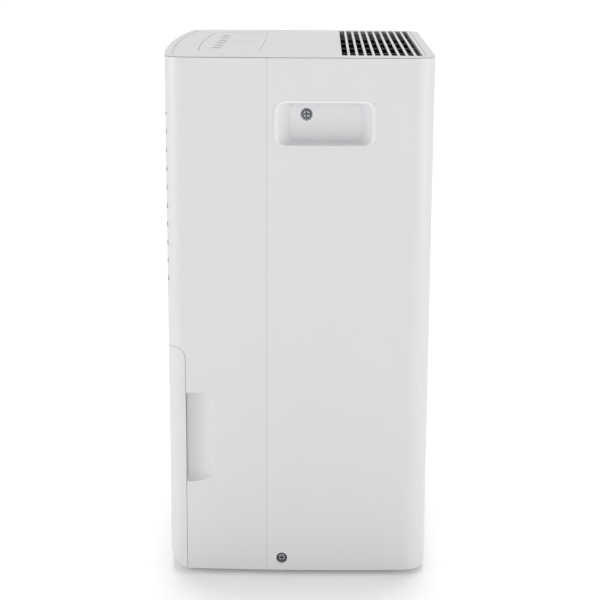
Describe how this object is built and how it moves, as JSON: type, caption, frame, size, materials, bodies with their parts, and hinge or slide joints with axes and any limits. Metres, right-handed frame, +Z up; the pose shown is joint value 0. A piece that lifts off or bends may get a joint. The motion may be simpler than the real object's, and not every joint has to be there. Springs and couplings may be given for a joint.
{
  "type": "dehumidifier",
  "caption": "Tall box-shaped room dehumidifier with a slotted top outlet, hand recesses in its sides, round keys on top and a water tank that slides out at the front.",
  "frame": {"origin": "centre of the bounding box's bottom, on the surface that the feet stand on", "axes": "+Z up along the height; -Y towards the front, where the tank comes out; +X towards the side with the right hand recess seen from behind the panel"},
  "size_m": [0.34, 0.252, 0.495],
  "materials": {
    "casing_white": "fine spark-eroded grain, low sheen",
    "cup_white": "fine grain, a cleaner white than the casing",
    "top_white": "fine grain, slightly greyer than the sides",
    "panel_white": "smooth satin",
    "lid_white": "satin",
    "liner_grey": "moulded matt",
    "guard_grey": "matt",
    "duct_black": "matt",
    "key_grey": "satin",
    "handle_grey": "satin",
    "wheel_black": "moulded matt",
    "foam_white": "fine cell texture",
    "window_dark": "polished, plain",
    "window_clear": "polished, clear",
    "bucket_clear": "translucent moulding",
    "board_green": "lacquered laminate",
    "rubber_black": "matt",
    "screw_steel": "zinc plated, dulled",
    "motor_steel": "plain",
    "compressor_black": "semi-gloss enamel",
    "copper": "drawn copper tube",
    "fin_aluminium": "rolled foil",
    "magnet_dark": "dark ferrite",
    "mesh_grey": "fine net"
  },
  "bodies": {
    "root": {"base_pan": "liner_grey", "feet": "rubber_black", "front_casing": "casing_white", "rear_casing": "casing_white", "hand_recesses": "cup_white", "side_screws": "screw_steel", "top_cover": "top_white", "outlet_guard": "guard_grey", "control_panel": "panel_white", "display_window": "window_dark", "control_board": "board_green", "bay_liner": "liner_grey", "reed_switch": "wheel_black", "drip_tray": "liner_grey", "drain_pipe": "liner_grey", "cord_gland": "rubber_black", "fan_housing": "foam_white", "fan_inlet_plate": "foam_white", "outlet_duct": "duct_black", "fan_motor": "motor_steel", "compressor": "compressor_black", "compressor_grommets": "rubber_black", "compressor_bolts": "screw_steel", "accumulator": "compressor_black", "lower_suction_pipe": "copper", "suction_pipe": "copper", "discharge_pipe": "copper", "capillary_tube": "copper", "capacitor": "fin_aluminium", "humidity_sensor": "guard_grey", "evaporator_tubes": "copper", "condenser_tubes": "copper", "evaporator_fins": "fin_aluminium", "condenser_fins": "fin_aluminium"},
    "tank": {"tank_container": "bucket_clear", "tank_lid": "lid_white", "tank_front_panel": "casing_white", "level_window": "window_clear"},
    "handle": {"tank_handle": "handle_grey"},
    "float": {"float_block": "foam_white", "float_magnet": "magnet_dark"},
    "filter": {"filter_frame": "handle_grey", "filter_mesh": "mesh_grey"},
    "fan": {"fan_wheel": "wheel_black"},
    "drain_bung": {"drain_plug": "rubber_black"},
    "key_power": {"button_power": "key_grey"},
    "key_mode": {"button_mode": "key_grey"},
    "key_fan": {"button_fan": "key_grey"},
    "key_timer": {"button_timer": "key_grey"},
    "key_drier": {"button_drier": "key_grey"},
    "key_wetter": {"button_wetter": "key_grey"}
  },
  "joints": [
    {"name": "tank_slide", "type": "slide", "parent": "root", "child": "tank", "axis": [0, -1, 0], "range_m": [0, 0.16]},
    {"name": "handle_swing", "type": "hinge", "parent": "tank", "child": "handle", "pos_m": [0, -0.06, 0.181], "axis": [1, 0, 0], "range_deg": [0, 95]},
    {"name": "float_swing", "type": "hinge", "parent": "tank", "child": "float", "pos_m": [0.08, -0.025, 0.158], "axis": [-1, 0, 0], "range_deg": [0, 18]},
    {"name": "filter_slide", "type": "slide", "parent": "root", "child": "filter", "axis": [0, 0, -1], "range_m": [0, 0.19]},
    {"name": "fan_spin", "type": "hinge", "parent": "root", "child": "fan", "pos_m": [0.025, 0.07, 0.332], "axis": [0, 1, 0], "continuous": true},
    {"name": "drain_bung_pull", "type": "slide", "parent": "root", "child": "drain_bung", "axis": [0, 1, 0], "range_m": [0, 0.03]},
    {"name": "key_power_press", "type": "slide", "parent": "root", "child": "key_power", "axis": [0, 0, -1], "range_m": [0, 0.0008], "stiffness_N_per_m": 1500},
    {"name": "key_mode_press", "type": "slide", "parent": "root", "child": "key_mode", "axis": [0, 0, -1], "range_m": [0, 0.0008], "stiffness_N_per_m": 1500},
    {"name": "key_fan_press", "type": "slide", "parent": "root", "child": "key_fan", "axis": [0, 0, -1], "range_m": [0, 0.0008], "stiffness_N_per_m": 1500},
    {"name": "key_timer_press", "type": "slide", "parent": "root", "child": "key_timer", "axis": [0, 0, -1], "range_m": [0, 0.0008], "stiffness_N_per_m": 1500},
    {"name": "key_drier_press", "type": "slide", "parent": "root", "child": "key_drier", "axis": [0, 0, -1], "range_m": [0, 0.0008], "stiffness_N_per_m": 1500},
    {"name": "key_wetter_press", "type": "slide", "parent": "root", "child": "key_wetter", "axis": [0, 0, -1], "range_m": [0, 0.0008], "stiffness_N_per_m": 1500}
  ]
}
